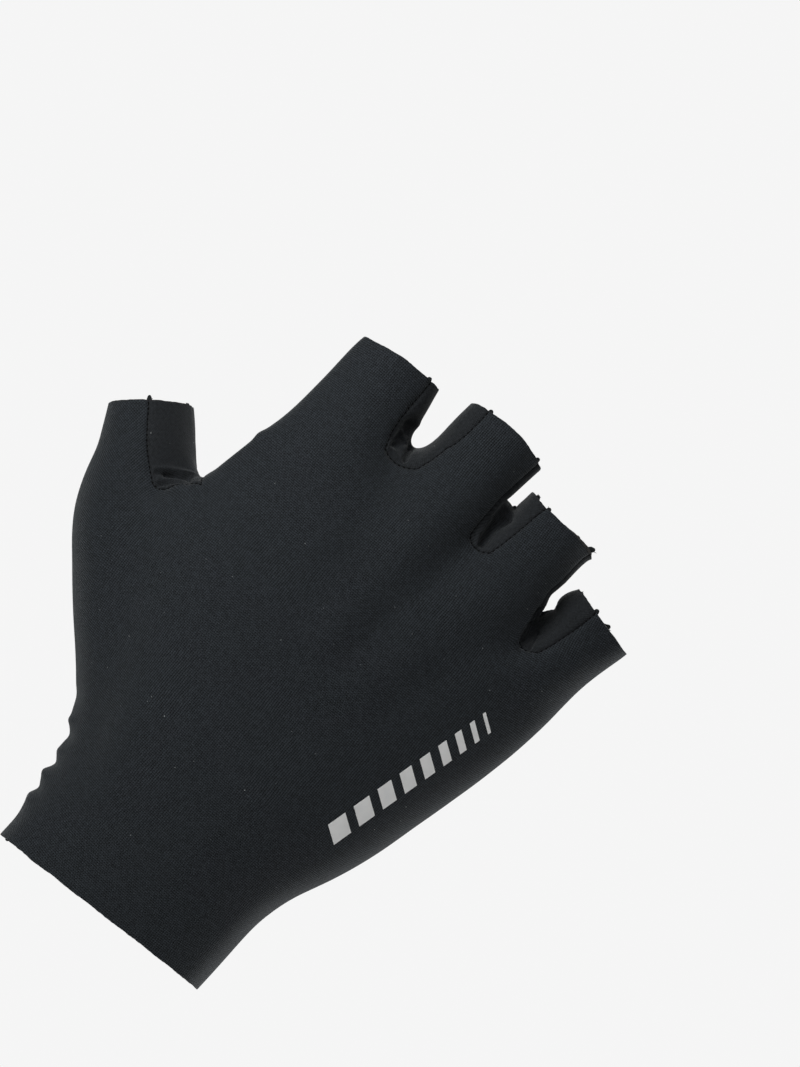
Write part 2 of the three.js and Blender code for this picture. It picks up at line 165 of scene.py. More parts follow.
# Folds. At the roots of the fingers and in the thumb's web the spare cloth tucks into pockets and
# pleats with raised lips, at the wrist it gathers, and elsewhere it lies in broad soft folds. Each
# is pressed into the skin along a line, or round a spot, as seen from the front.
FOLDS = (  # depth, half width and the line's x and z, in mm; a negative depth is a raised lip
    (1.6, 1.5, ((-16.0, 127.0), (-15.6, 124.6), (-15.6, 122.4))),
    (-0.5, 0.35, ((-16.6, 125.6), (-15.2, 124.9), (-14.2, 123.9))),
    (-0.4, 0.35, ((-16.8, 121.6), (-15.8, 122.6), (-14.9, 123.4))),
    (-0.4, 0.6, ((-17.4, 121.6), (-16.6, 120.3), (-14.9, 120.9), (-13.9, 122.9))),
    (-0.5, 0.5, ((-14.6, 128.4), (-14.3, 124.9))),
    (1.5, 0.6, ((-12.9, 125.2), (-12.6, 122.6), (-12.2, 120.7))),
    (1.5, 0.9, ((13.4, 125.4), (12.4, 121.6), (12.9, 117.6))),
    (-0.5, 0.5, ((10.9, 122.4), (11.0, 119.0), (12.0, 116.6))),
    (1.2, 0.7, ((32.2, 114.6), (32.5, 110.6), (33.3, 107.0))),
    (-0.4, 0.5, ((31.4, 111.6), (31.6, 109.0), (32.4, 106.4))),
    (0.5, 0.35, ((34.9, 110.2), (35.8, 106.4))),
    (0.15, 0.5, ((-53.6, 85.3), (-51.5, 87.0))),
    (0.45, 0.4, ((-52.6, 82.7), (-50.1, 84.5), (-44.4, 88.3))),
    (1.1, 0.5, ((-50.8, 84.0), (-47.7, 86.0), (-46.6, 86.9))),
    (0.5, 0.45, ((-46.0, 87.0), (-44.8, 88.0))),
    (-0.45, 0.45, ((-53.4, 83.6), (-51.6, 85.2), (-48.5, 87.0), (-46.4, 87.9))),
    (-0.3, 0.35, ((-51.4, 81.9), (-47.9, 85.1), (-46.9, 85.9))),
    (0.9, 0.38, ((-50.4, 81.2), (-48.2, 84.1), (-45.6, 86.6))),
    (-0.3, 0.35, ((-49.4, 81.2), (-47.4, 83.5), (-46.2, 84.8))),
)
FRONT_SIDE, PALM_SIDE = -1, 1
SOFT_FOLDS = (  # the side, then as in FOLDS: broad and low ones
    (FRONT_SIDE, 0.7, 4.0, ((10.5, 113.0), (8.0, 95.0), (6.0, 78.0))),
    (FRONT_SIDE, -0.5, 4.0, ((1.5, 116.0), (0.5, 98.0), (0.0, 82.0))),
    (FRONT_SIDE, 0.5, 4.0, ((30.0, 104.0), (25.0, 90.0), (20.0, 76.0))),
    (FRONT_SIDE, -0.3, 4.0, ((20.5, 108.0), (16.5, 92.0), (14.0, 80.0))),
    (FRONT_SIDE, 0.4, 4.0, ((-12.0, 116.0), (-9.0, 100.0), (-7.0, 86.0))),
    (FRONT_SIDE, 0.45, 3.0, ((9.7, 138.0), (10.7, 118.0))),
    (FRONT_SIDE, 0.45, 3.0, ((31.1, 130.0), (31.5, 110.0))),
    (FRONT_SIDE, 0.25, 1.2, ((-53.9, 69.1), (-52.5, 71.9), (-49.9, 77.4), (-49.3, 79.6))),
    (FRONT_SIDE, -0.15, 1.2, ((-52.0, 68.4), (-50.6, 71.2), (-48.2, 76.4))),
    (PALM_SIDE, 0.6, 3.0, ((-38.0, 86.0), (-20.0, 72.0), (-13.0, 48.0), (-16.0, 22.0))),
    (PALM_SIDE, 0.35, 2.2, ((31.0, 96.0), (12.0, 99.0), (-8.0, 110.0))),
    (PALM_SIDE, 0.3, 2.5, ((-36.0, 90.0), (-6.0, 84.0), (22.0, 70.0))),
    (PALM_SIDE, 0.25, 1.6, ((-23.0, 11.0), (0.0, 13.0), (23.0, 10.0))),
)
BULGES = (  # height, radius and middle in x and z, in mm; a negative height is a dent
    (0.4, 1.2, -14.2, 128.4),
    (0.4, 1.5, -40.6, 104.3),
    (-0.3, 2.0, -34.6, 33.6),
    (0.5, 1.0, -31.8, 28.7),
    (-0.5, 1.5, -30.2, 25.6),
    (0.4, 1.0, -29.6, 21.7),
    (-0.4, 1.0, -28.7, 19.1),
    (0.8, 1.2, -29.2, 16.2),
    (-0.3, 0.9, -27.8, 12.9),
    (0.6, 1.3, -28.0, 10.2),
)
NUDGES = (  # middle in x and z, radius, and the shift in x and z, in mm, of cloth pulled aside
    (-44.0, 86.0, 2.2, -0.7, 0.9),
    (-49.9, 80.9, 2.5, 0.5, -0.6),
    (-47.4, 91.1, 3.0, 0.6, 0.5),
    (-46.6, 83.9, 2.0, -0.5, 0.6),
    (-46.3, 88.8, 1.7, 0.6, 0.5),
    (11.9, 125.6, 2.6, 0.0, 2.2),
    (33.4, 113.9, 2.2, 0.0, 1.8),
    (32.1, 118.6, 2.5, -0.7, 0.0),
    (14.9, 132.9, 1.5, -0.4, 0.5),
    (-27.2, 138.5, 5.0, 0.0, 0.35),
    (2.8, 139.0, 5.0, 0.0, 0.45),
    (26.8, 133.0, 5.0, 0.0, 0.35),
)
HEEL_FULLNESS = 0.5 * MM  # the cloth is fuller by this along the little finger's edge
HEEL_FACING, HEEL_X = (0.2, 0.9), (15 * MM, 25 * MM)  # it grows fuller between these
SWELLS = ((22 * MM, 0.16 * MM), (7 * MM, 0.05 * MM))  # sizes and heights of a broad unevenness
FACING = (-0.1, 0.2)  # a fold on one side of the glove fades out between these shares of facing it
FINE_REACH = 1.5 * MM  # the mesh is finer within this of a seam or rim, and twice this of a fold
FINEST_FRONT = 6 * MM  # round the folds it is finer once more, but not behind this


def rows(mesh, part, attribute):
    """An attribute of the mesh's vertices or faces, as rows of x, y and z."""
    items = getattr(mesh, part)
    flat = np.empty(len(items) * 3)
    items.foreach_get(attribute, flat)
    return flat.reshape(-1, 3)


def smoothstep(low, high, value):
    """0 up to low, 1 from high on, and a soft step between them."""
    share = np.clip((value - low) / (high - low), 0, 1)
    return share * share * (3 - 2 * share)


def distance_to(line, places):
    """How far each place is from a broken line, in x and z."""
    flat = places[:, [0, 2]]
    nearest = np.full(len(flat), np.inf)
    corners = np.array(line) * MM
    for start, end in zip(corners[:-1], corners[1:]):
        share = (flat - start) @ (end - start) / ((end - start) @ (end - start))
        foot = start + np.clip(share, 0, 1)[:, None] * (end - start)
        nearest = np.minimum(nearest, np.linalg.norm(flat - foot, axis=1))
    return nearest


def near_line(line, width, places):
    """1 on the line and less away from it, for each place."""
    return np.exp(-((distance_to(line, places) / (width * MM)) ** 2))


def near_spot(x, z, radius, places):
    """1 at the spot, seen from the front, and less away from it, for each place."""
    off = np.hypot(places[:, 0] - x * MM, places[:, 2] - z * MM) / (radius * MM)
    return np.exp(-(off ** 2))


def edge_points(mesh):
    """The numbers of the vertices on the seams, and of those on the rims."""
    shape = bmesh.new()
    shape.from_mesh(mesh)
    on_rims = {v.index for edge in shape.edges if edge.is_boundary for v in edge.verts}
    on_seams = {
        v.index
        for edge in shape.edges
        if len({face.material_index for face in edge.link_faces}) == 2
        for v in edge.verts
    }
    shape.free()
    return sorted(on_seams), sorted(on_rims)


def tree_of(places):
    """A search tree of places."""
    tree = KDTree(len(places))
    for number, place in enumerate(places):
        tree.insert(place, number)
    tree.balance()
    return tree


def split_faces(piece, chosen):
    """Splits each of the chosen faces into four."""
    take(piece)
    for part in (piece.data.vertices, piece.data.edges, piece.data.polygons):
        part.foreach_set("select", np.zeros(len(part), bool))
    piece.data.polygons.foreach_set("select", chosen)
    bpy.ops.object.mode_set(mode="EDIT")
    bpy.ops.mesh.select_mode(type="FACE")
    bpy.ops.mesh.subdivide(number_cuts=1)
    bpy.ops.object.mode_set(mode="OBJECT")


places = rows(skin.data, "vertices", "co")
seams, rims = edge_points(skin.data)
edge_tree = tree_of(places[seams + rims])
centres = rows(skin.data, "polygons", "center")
fine = np.array([edge_tree.find(centre)[2] < FINE_REACH for centre in centres])
for depth, width, line in FOLDS:
    fine |= distance_to(line, centres) < 2 * FINE_REACH
for height, radius, x, z in BULGES:
    upwards = ((x, z), (x, z + 1))
    fine |= distance_to(upwards, centres) < 2 * radius * MM
split_faces(skin, fine)
centres = rows(skin.data, "polygons", "center")
finest = np.zeros(len(centres), bool)
for depth, width, line in FOLDS:
    finest |= (distance_to(line, centres) < FINE_REACH) & (centres[:, 1] < FINEST_FRONT)
split_faces(skin, finest)

places = rows(skin.data, "vertices", "co")
for x, z, radius, across, along in NUDGES:
    places += near_spot(x, z, radius, places)[:, None] * np.array((across, 0, along)) * MM
skin.data.vertices.foreach_set("co", places.ravel())
skin.data.update()
normals = rows(skin.data, "vertices", "normal")
faces_front = smoothstep(*FACING, FRONT_SIDE * normals[:, 1])
press = np.zeros(len(places))
for depth, width, line in FOLDS:
    press += depth * MM * faces_front * near_line(line, width, places)
for side, depth, width, line in SOFT_FOLDS:
    faces_it = smoothstep(*FACING, side * normals[:, 1])
    press += depth * MM * faces_it * near_line(line, width, places)
for height, radius, x, z in BULGES:
    press -= height * MM * near_spot(x, z, radius, places)
fullness = HEEL_FULLNESS * smoothstep(*HEEL_FACING, normals[:, 0])
press -= fullness * smoothstep(*HEEL_X, places[:, 0])
for size, height in SWELLS:
    press += height * np.array([noise.noise(Vector(place) / size) for place in places])
places -= press[:, None] * normals

# Seam lines and raw rims. Along a seam both cuts turn in to a narrow groove, and beside it the
# sewn allowance lifts the cloth a little. The rims are cut raw, so they waver and are nibbled.
GROOVE = (0.34 * MM, 0.40 * MM)  # depth and half width
WELT = (0.14 * MM, 1.7 * MM, 1.0 * MM)  # height, distance from the seam, half width
NIBBLE = ((0.8 * MM, 0.10 * MM), (4 * MM, 0.16 * MM))  # sizes and depths of the rims' wavering


def neighbours(mesh):
    """For each vertex, the numbers of the vertices that share an edge with it."""
    found = [[] for vertex in mesh.vertices]
    for edge in mesh.edges:
        first, second = edge.vertices
        found[first].append(second)
        found[second].append(first)
    return found


seams, rims = edge_points(skin.data)
seam_tree = tree_of(places[seams])
to_seam = np.array([seam_tree.find(place)[2] for place in places])
depth, width = GROOVE
height, centre, spread = WELT
lift = height * np.exp(-(((to_seam - centre) / spread) ** 2))
places += (lift - depth * np.exp(-((to_seam / width) ** 2)))[:, None] * normals
beside = neighbours(skin.data)
is_rim = np.zeros(len(places), bool)
is_rim[rims] = True
for number in rims:
    inner = [other for other in beside[number] if not is_rim[other]]
    if inner:
        out = Vector(places[number] - places[inner].mean(axis=0)).normalized()
        waver = sum(deep * noise.noise(Vector(places[number]) / size) for size, deep in NIBBLE)
        places[number] += np.array(out) * waver
skin.data.vertices.foreach_set("co", places.ravel())
skin.data.update()
for name, marked in (("rim", rims), ("seam", seams)):
    marks = np.zeros(len(places), np.float32)
    marks[marked] = 1
    skin.data.attributes.new(name, "FLOAT", "POINT").data.foreach_set("value", marks)


def seam_runs(mesh):
    """The seams, each as the numbers of its vertices in order from end to end."""
    shape = bmesh.new()
    shape.from_mesh(mesh)
    joined = {}
    for edge in shape.edges:
        pair = tuple(sorted({face.material_index for face in edge.link_faces}))
        if len(pair) == 2:
            for near, far in (edge.verts, reversed(edge.verts)):
                joined.setdefault(pair, {}).setdefault(near.index, []).append(far.index)
    shape.free()
    runs = []
    for links in joined.values():
        ends = [number for number, others in links.items() if len(others) == 1]
        while ends:
            run = [ends[0]]
            ahead = links[ends[0]]
            while ahead:
                run.append(ahead[0])
                ahead = [other for other in links[run[-1]] if other != run[-2]]
            ends = [number for number in ends if number not in (run[0], run[-1])]
            runs.append(run)
    return runs


normals = rows(skin.data, "vertices", "normal")
runs = [
    {"places": places[run], "normals": normals[run], "rims": (is_rim[run[0]], is_rim[run[-1]])}
    for run in seam_runs(skin.data)
]

# The cut cloth. Each cut is parted from the skin at its seams and gets the cloth's thickness
# inwards, with its edges rounded over.
CLOTH = 0.8 * MM
SEAM_GAP = 0.04 * MM  # each cut's edge keeps back this far from the seam
EDGE_ROUND = 0.2 * MM
EDGE_SHARP = math.radians(50)  # what is sharper than this gets rounded

take(skin)
bpy.ops.object.mode_set(mode="EDIT")
bpy.ops.mesh.select_all(action="SELECT")
bpy.ops.mesh.separate(type="MATERIAL")
bpy.ops.object.mode_set(mode="OBJECT")
parted = {piece.data.materials[0].name: piece for piece in bpy.context.selected_objects}


def make_cloth(node, name):
    """The cut that stands for the frame's node, with its gap at the seams and its thickness."""
    piece = parted[node]
    piece.name = piece.data.name = name
    mesh = piece.data
    spots = rows(mesh, "vertices", "co")
    on_seam = np.empty(len(spots), np.float32)
    mesh.attributes["seam"].data.foreach_get("value", on_seam)
    beside = neighbours(mesh)
    for number in np.flatnonzero(on_seam > 0.5):
        inner = [other for other in beside[number] if on_seam[other] < 0.5]
        if inner:
            back = Vector(spots[inner].mean(axis=0) - spots[number]).normalized()
            spots[number] += np.array(back) * SEAM_GAP
    mesh.vertices.foreach_set("co", spots.ravel())
    mesh.update()
    take(piece)
    wall = piece.modifiers.new("thickness", "SOLIDIFY")
    wall.thickness = CLOTH
    wall.offset = -1
    bpy.ops.object.modifier_apply(modifier=wall.name)
    edge = piece.modifiers.new("rounded edge", "BEVEL")
    edge.limit_method = "ANGLE"
    edge.angle_limit = EDGE_SHARP
    edge.width = EDGE_ROUND
    edge.segments = 2
    bpy.ops.object.modifier_apply(modifier=edge.name)
    bpy.ops.object.shade_smooth()
    mesh.materials.clear()
    return piece


# Back panel. One cut of thin matt stretch knit with a fine rib both ways, from the cuff up to
# the backs of the fingers and round the outer side of the thumb, cut raw at every opening.
WALE, COURSE = 0.55 * MM, 0.48 * MM  # its columns and rows, a little coarser than real, to show
RIB_HEIGHT = 0.09 * MM
PATCH = 24 * MM  # over such a distance the columns or the rows come out more
DRIFT, DRIFT_SIZE = 0.8 * MM, 9 * MM  # how far the columns wander, and over what distance
SPECKS_APART, SPECK_SIZE = 2.4 * MM, 0.045  # a cell to each pale speck, its radius as a share of that


def colour(hexes):
    """An sRGB hex colour, as the shaders' linear red, green, blue and alpha."""
    shares = [int(hexes[i : i + 2], 16) / 255 for i in (1, 3, 5)]
    return (*(s / 12.92 if s <= 0.04045 else ((s + 0.055) / 1.055) ** 2.4 for s in shares), 1)


def add(material, kind, inputs=(), **settings):
    """Adds a node, with its settings and with a value or another node's output at its inputs."""
    made = material.node_tree.nodes.new(kind)
    for name, value in settings.items():
        setattr(made, name, value)
    for name, value in dict(inputs).items():
        if isinstance(value, bpy.types.NodeSocket):
            material.node_tree.links.new(value, made.inputs[name])
        else:
            made.inputs[name].default_value = value
    return made


def new_material(name):
    """An empty node material and its output."""
    material = bpy.data.materials.new(name)
    material.use_nodes = True
    material.node_tree.nodes.clear()
    return material, add(material, "ShaderNodeOutputMaterial")


def knit(name, wale, course, fuzz_size, fuzz_share, valley, crest, cut_edge):
    """Polyester and elastane stretch knit, knitted in columns of small slanted loops, dyed black
    and cut hot. The eye gets a fine rib both ways with painted shade in its valleys, a dull sheen
    at the outline, a few pale specks, which are lint and painted glints of single fibres, painted
    shade along the seams and a slightly browner fused edge."""
    cloth, output = new_material(name)
    pattern = add(cloth, "ShaderNodeUVMap", uv_map="UVMap").outputs["UV"]
    drift = add(
        cloth, "ShaderNodeTexNoise", {"Vector": pattern, "Scale": 1 / DRIFT_SIZE, "Detail": 1.0}
    )
    drawn = add(
        cloth, "ShaderNodeVectorMath",
        {0: drift.outputs["Color"], 1: (DRIFT, DRIFT, 0), 2: pattern}, operation="MULTIPLY_ADD",
    )
    parts = add(cloth, "ShaderNodeSeparateXYZ", {"Vector": drawn.outputs[0]})
    column = add(cloth, "ShaderNodeMath", {0: parts.outputs["X"], 1: 1 / wale}, operation="MULTIPLY")
    row = add(cloth, "ShaderNodeMath", {0: parts.outputs["Y"], 1: 1 / course}, operation="MULTIPLY")
    across = add(cloth, "ShaderNodeMath", {0: column.outputs[0], 1: 0.5}, operation="PINGPONG")
    slanted = add(cloth, "ShaderNodeMath", {0: row.outputs[0], 1: across.outputs[0]}, operation="ADD")
    along = add(cloth, "ShaderNodeMath", {0: slanted.outputs[0], 1: 0.5}, operation="PINGPONG")
    loop_at = add(cloth, "ShaderNodeCombineXYZ", {"X": column.outputs[0], "Y": slanted.outputs[0]})
    loop_cell = add(cloth, "ShaderNodeVectorMath", {0: loop_at.outputs[0]}, operation="FLOOR")
    loop_tone = add(
        cloth, "ShaderNodeTexWhiteNoise", {"Vector": loop_cell.outputs[0]}, noise_dimensions="2D"
    )
    leg = add(cloth, "ShaderNodeMath", {0: across.outputs[0], 1: 0.25}, operation="PINGPONG")
    leg_top = add(
        cloth, "ShaderNodeMapRange", {"Value": leg.outputs[0], "From Max": 0.25},
        interpolation_type="SMOOTHSTEP",
    )
    loop_top = add(
        cloth, "ShaderNodeMapRange", {"Value": along.outputs[0], "From Max": 0.5},
        interpolation_type="SMOOTHSTEP",
    )
    column_top = add(
        cloth, "ShaderNodeMapRange", {"Value": across.outputs[0], "From Max": 0.5},
        interpolation_type="SMOOTHSTEP",
    )
    patches = add(
        cloth, "ShaderNodeTexNoise", {"Vector": pattern, "Scale": 1 / PATCH, "Detail": 1.0}
    )
    share = add(
        cloth, "ShaderNodeMapRange",
        {"Value": patches.outputs["Fac"], "From Min": 0.35, "From Max": 0.65,
         "To Min": 0.25, "To Max": 0.75},
    )
    ribs = add(
        cloth, "ShaderNodeMix",
        {"Factor": share.outputs[0], 2: column_top.outputs[0], 3: loop_top.outputs[0]},
    )
    loops = add(cloth, "ShaderNodeMath", {0: leg_top.outputs[0], 1: loop_top.outputs[0]},
                operation="MULTIPLY")
    height = add(
        cloth, "ShaderNodeMix", {"Factor": 0.35, 2: ribs.outputs[0], 3: loops.outputs[0]}
    )
    fuzz = add(
        cloth, "ShaderNodeTexNoise", {"Vector": pattern, "Scale": 1 / fuzz_size, "Detail": 2.0}
    )
    fuzz_and_rib_height = add(
        cloth, "ShaderNodeMath", {0: fuzz.outputs["Fac"], 1: fuzz_share, 2: height.outputs[0]},
        operation="MULTIPLY_ADD",
    )
    varied = add(
        cloth, "ShaderNodeMath", {0: loop_tone.outputs["Value"], 1: 0.22, 2: fuzz_and_rib_height.outputs[0]},
        operation="MULTIPLY_ADD",
    )
    # Painted shade: the colour follows the rib height, darkest in the loops' valleys and lighter on
    # their crests, mixed with random fuzz and a random tone to each loop.
    tone = add(
        cloth, "ShaderNodeMapRange", {"Value": varied.outputs[0], "From Min": 0.3, "From Max": 1.3}
    )
    yarn = add(
        cloth, "ShaderNodeMix", {"Factor": tone.outputs[0], 6: colour(valley), 7: colour(crest)},
        data_type="RGBA",
    )
    # Pale specks at random: lint, and painted glints of single fibres.
    specks = add(cloth, "ShaderNodeTexVoronoi", {"Vector": pattern, "Scale": 1 / SPECKS_APART})
    speck = add(
        cloth, "ShaderNodeMath", {0: specks.outputs["Distance"], 1: SPECK_SIZE}, operation="LESS_THAN"
    )
    speck_tone = add(cloth, "ShaderNodeSeparateColor", {"Color": specks.outputs["Color"]})
    pale = add(cloth, "ShaderNodeMath", {0: speck_tone.outputs[0], 1: 3.0}, operation="POWER")
    lint = add(
        cloth, "ShaderNodeMath", {0: speck.outputs[0], 1: pale.outputs[0]}, operation="MULTIPLY"
    )
    speckled = add(
        cloth, "ShaderNodeMix",
        {"Factor": lint.outputs[0], 6: yarn.outputs[2], 7: colour("#9a9e9e")}, data_type="RGBA",
    )
    # Painted shade: along the seams the colour darkens towards near black, as shade in the seam
    # groove.
    near_seam = add(cloth, "ShaderNodeAttribute", attribute_name="seam")
    sunk = add(
        cloth, "ShaderNodeMapRange",
        {"Value": near_seam.outputs["Fac"], "From Min": 0.35, "From Max": 0.9, "To Max": 0.3},
    )
    seam_shaded = add(
        cloth, "ShaderNodeMix",
        {"Factor": sunk.outputs[0], 6: speckled.outputs[2], 7: colour("#030304")}, data_type="RGBA",
    )
    near_rim = add(cloth, "ShaderNodeAttribute", attribute_name="rim")
    fused = add(
        cloth, "ShaderNodeMapRange",
        {"Value": near_rim.outputs["Fac"], "From Min": 0.7, "From Max": 1.0},
    )
    edged = add(
        cloth, "ShaderNodeMix",
        {"Factor": fused.outputs[0], 6: seam_shaded.outputs[2], 7: colour(cut_edge)}, data_type="RGBA",
    )
    bump = add(
        cloth, "ShaderNodeBump", {"Height": fuzz_and_rib_height.outputs[0], "Distance": RIB_HEIGHT, "Strength": 1.0}
    )
    shader = add(
        cloth, "ShaderNodeBsdfPrincipled",
        {"Base Color": edged.outputs[2], "Roughness": 0.85, "Specular IOR Level": 0.15,
         "Sheen Weight": 0.2, "Sheen Roughness": 0.4, "Sheen Tint": colour("#c8cdce"),
         "Normal": bump.outputs["Normal"]},
    )
    cloth.node_tree.links.new(shader.outputs[0], output.inputs["Surface"])
    return cloth


back = make_cloth("back_panel", "back_knit")
# Its first colour is painted shade in the ribs' valleys.
stretch_knit = knit(
    "matt_stretch_knit", WALE, COURSE, 0.25 * MM, 0.5, "#040505", "#353a3f", "#2b2725"
)
back.data.materials.append(stretch_knit)
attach(back, "root")
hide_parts("back_panel")

# Gusset of the thumb. A small strip on the thumb's inner side, let in between the back and the
# palm so that the thumb can spread, of a finer and smoother knit than the back's.
FINE_WALE, FINE_COURSE = 0.36 * MM, 0.32 * MM  # its columns and rows, too fine to measure
# Its first colour is painted shade in the ribs' valleys.
fine_knit = knit(
    "smooth_fine_knit", FINE_WALE, FINE_COURSE, 0.6 * MM, 0.9, "#040404", "#2b2e31", "#2b2725"
)
gusset = make_cloth("thumb_gusset", "thumb_gusset_knit")
gusset.data.materials.append(fine_knit)
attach(gusset, "root")
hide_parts("thumb_gusset")

# Fourchettes. Strips between the fingers, of the same finer knit as the gusset, each folded up
# over the web between two fingers and sewn in between the back and the palm.
FOURCHETTES = ("index_middle", "middle_ring", "ring_little")
for between in FOURCHETTES:
    strip = make_cloth(f"fourchette_{between}", f"fourchette_{between}_knit")
    strip.data.materials.append(fine_knit)
    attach(strip, "root")
    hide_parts(f"fourchette_{between}")

# Palm. Short-napped synthetic suede, one cut over the palm, the ball of the thumb and the
# fingers' palm sides, without ribs.
NAP, NAP_HEIGHT = 0.5 * MM, 0.06 * MM  # coarser than real, to show
STROKE = 14 * MM  # over such a distance the nap lies another way

# A felt of very fine fibres, its face brushed to a short nap. The eye gets a soft grey-black
# without gloss, cloudy where the nap was stroked another way.
suede, output = new_material("brushed_synthetic_suede")
grain = add(suede, "ShaderNodeUVMap", uv_map="UVMap").outputs["UV"]
nap = add(suede, "ShaderNodeTexNoise", {"Vector": grain, "Scale": 1 / NAP, "Detail": 4.0})
strokes = add(suede, "ShaderNodeTexNoise", {"Vector": grain, "Scale": 1 / STROKE, "Detail": 3.0})
lie = add(
    suede, "ShaderNodeMath", {0: strokes.outputs["Fac"], 1: 0.4, 2: nap.outputs["Fac"]},
    operation="MULTIPLY_ADD",
)
tone = add(suede, "ShaderNodeMapRange", {"Value": lie.outputs[0], "From Min": 0.4, "From Max": 1.0})
fibre = add(
    suede, "ShaderNodeMix",
    {"Factor": tone.outputs[0], 6: colour("#141617"), 7: colour("#37393a")}, data_type="RGBA",
)
fuzz = add(
    suede, "ShaderNodeBump",
    {"Height": nap.outputs["Fac"], "Distance": NAP_HEIGHT, "Strength": 0.8},
)
shader = add(
    suede, "ShaderNodeBsdfPrincipled",
    {"Base Color": fibre.outputs[2], "Roughness": 0.92, "Specular IOR Level": 0.1,
     "Sheen Weight": 0.5, "Sheen Roughness": 0.5, "Sheen Tint": colour("#c0c4c6"),
     "Normal": fuzz.outputs["Normal"]},
)
suede.node_tree.links.new(shader.outputs[0], output.inputs["Surface"])
palm = make_cloth("palm_panel", "palm_suede")
palm.data.materials.append(suede)
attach(palm, "root")
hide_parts("palm_panel")

# Seam allowances. Inside the glove the edges of the cuts are overlocked with polyester yarn into a
# narrow ridge along each seam. Its ends stick out of the rims as short tabs with loose threads.
RIDGE_RADIUS = 0.65 * MM
RIDGE_DEPTH = 1.05 * MM  # its middle below the outer face
TAB_DEPTH = 0.8  # a tab's, as a share of the ridge's
TAB, THUMB_TAB = 0.9 * MM, 1.4 * MM  # the longer one is the front one of the thumb's outer two
THUMB_SIDE = -61 * MM  # only those two seams end beyond this x
TAB_TAPER = ((0.35, 0.95), (0.7, 0.75), (0.92, 0.5), (1.0, 0.2))  # how far along, how thick
STRANDS = 3  # loose threads to a tab
STRAND_LENGTHS, STRAND_BOW, STRAND_FOOT = (0.5, 1.1), (-0.5, 0.5), (-0.5, 0.5)  # mm
STRAND_ASIDE, STRAND_UP = (-0.9, 0.9), (-0.5, 0.6)  # how far it leans from the seam's direction
STRAND_STEPS = 4
STRAND_TAPER = 0.12  # thinner by this share at each step
THREAD_RADIUS = 0.09 * MM
chance = random.Random(7)


def cord_piece(name, lines, thickness):
    """Round closed cords along lines of places and radii, all in one mesh."""
    curve = bpy.data.curves.new(name, "CURVE")
    curve.dimensions = "3D"
    curve.bevel_depth = thickness
    curve.bevel_resolution = 2
    curve.use_fill_caps = True
    for line in lines:
        spline = curve.splines.new("POLY")
        spline.points.add(len(line) - 1)
        for point, (place, radius) in zip(spline.points, line):
            point.co = (*place, 1)
            point.radius = radius
    piece = bpy.data.objects.new(name, curve)
    bpy.context.collection.objects.link(piece)
    take(piece)
    bpy.ops.object.convert(target="MESH")
    bpy.ops.object.shade_smooth()
    return bpy.context.object


def seam_end(run, last):
    """Where a seam ends, the direction in which it runs out there, and the cloth's direction."""
    order = slice(None, None, -1) if last else slice(None)
    spots, outs = run["places"][order], run["normals"][order]
    return Vector(spots[0]), Vector(spots[0] - spots[3]).normalized(), Vector(outs[0])


ridges, threads = [], []
for run in runs:
    under = run["places"] - run["normals"] * RIDGE_DEPTH
    line = [(Vector(place), 1) for place in under]
    for last in (False, True):
        if run["rims"][last]:
            place, out, up = seam_end(run, last)
            sunk = place - up * RIDGE_DEPTH * TAB_DEPTH
            tab_length = THUMB_TAB if place.x < THUMB_SIDE and up.y < 0 else TAB
            tab = [(sunk + out * tab_length * far, wide) for far, wide in TAB_TAPER]
            line = line + tab if last else tab[::-1] + line
            side = out.cross(up)
            for strand in range(STRANDS):
                lean = side * chance.uniform(*STRAND_ASIDE)
                aim = out + lean + up * chance.uniform(*STRAND_UP)
                start = sunk + side * chance.uniform(*STRAND_FOOT) * MM
                length = chance.uniform(*STRAND_LENGTHS) * MM
                bow = side * chance.uniform(*STRAND_BOW) * MM
                threads.append([])
                for k in range(STRAND_STEPS + 1):
                    spot = start + aim.normalized() * length * k / STRAND_STEPS
                    spot += bow * (k / STRAND_STEPS) ** 2
                    threads[-1].append((spot, 1 - STRAND_TAPER * k))
    ridges.append(line)
ridge = cord_piece("overlocked_allowances", ridges, RIDGE_RADIUS)
tufts = cord_piece("seam_thread_ends", threads, THREAD_RADIUS)

# Textured polyester yarn, crimped and left fluffy, looped over the cut edges. The eye gets a dull
# dark ridge, lightly mottled, without single threads.
FLUFF, FLUFF_HEIGHT = 0.3 * MM, 0.1 * MM
overlock, output = new_material("fluffy_overlock_yarn")
place = add(overlock, "ShaderNodeTexCoord").outputs["Object"]
fluff = add(overlock, "ShaderNodeTexNoise", {"Vector": place, "Scale": 1 / FLUFF, "Detail": 3.0})
yarn = add(
    overlock, "ShaderNodeMix",
    {"Factor": fluff.outputs["Fac"], 6: colour("#08090a"), 7: colour("#2c2f31")},
    data_type="RGBA",
)
relief = add(
    overlock, "ShaderNodeBump", {"Height": fluff.outputs["Fac"], "Distance": FLUFF_HEIGHT}
)
shader = add(
    overlock, "ShaderNodeBsdfPrincipled",
    {"Base Color": yarn.outputs[2], "Roughness": 0.9, "Specular IOR Level": 0.1,
     "Sheen Weight": 0.2, "Sheen Roughness": 0.5, "Sheen Tint": colour("#c8cdce"),
     "Normal": relief.outputs["Normal"]},
)
overlock.node_tree.links.new(shader.outputs[0], output.inputs["Surface"])
for piece in (ridge, tufts):
    piece.data.materials.append(overlock)
    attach(piece, "root")

# Stitches. Black polyester thread shows in each seam's groove as short slanted dashes, one to
# every stitch, sunk between the two cuts.
STITCH_PITCH = 1.2 * MM
FIRST_STITCH = 0.6  # of a pitch from the seam's end
LOOK_AHEAD = 0.3 * MM  # a stitch lies along the seam as it runs between this far either way
STITCH = (0.25 * MM, 0.40 * MM, 0.16 * MM)  # half its width, length and height
STITCH_DIVE = 0.1 * MM  # both ends dive into the groove by this
STITCH_SLANT = math.radians(14)

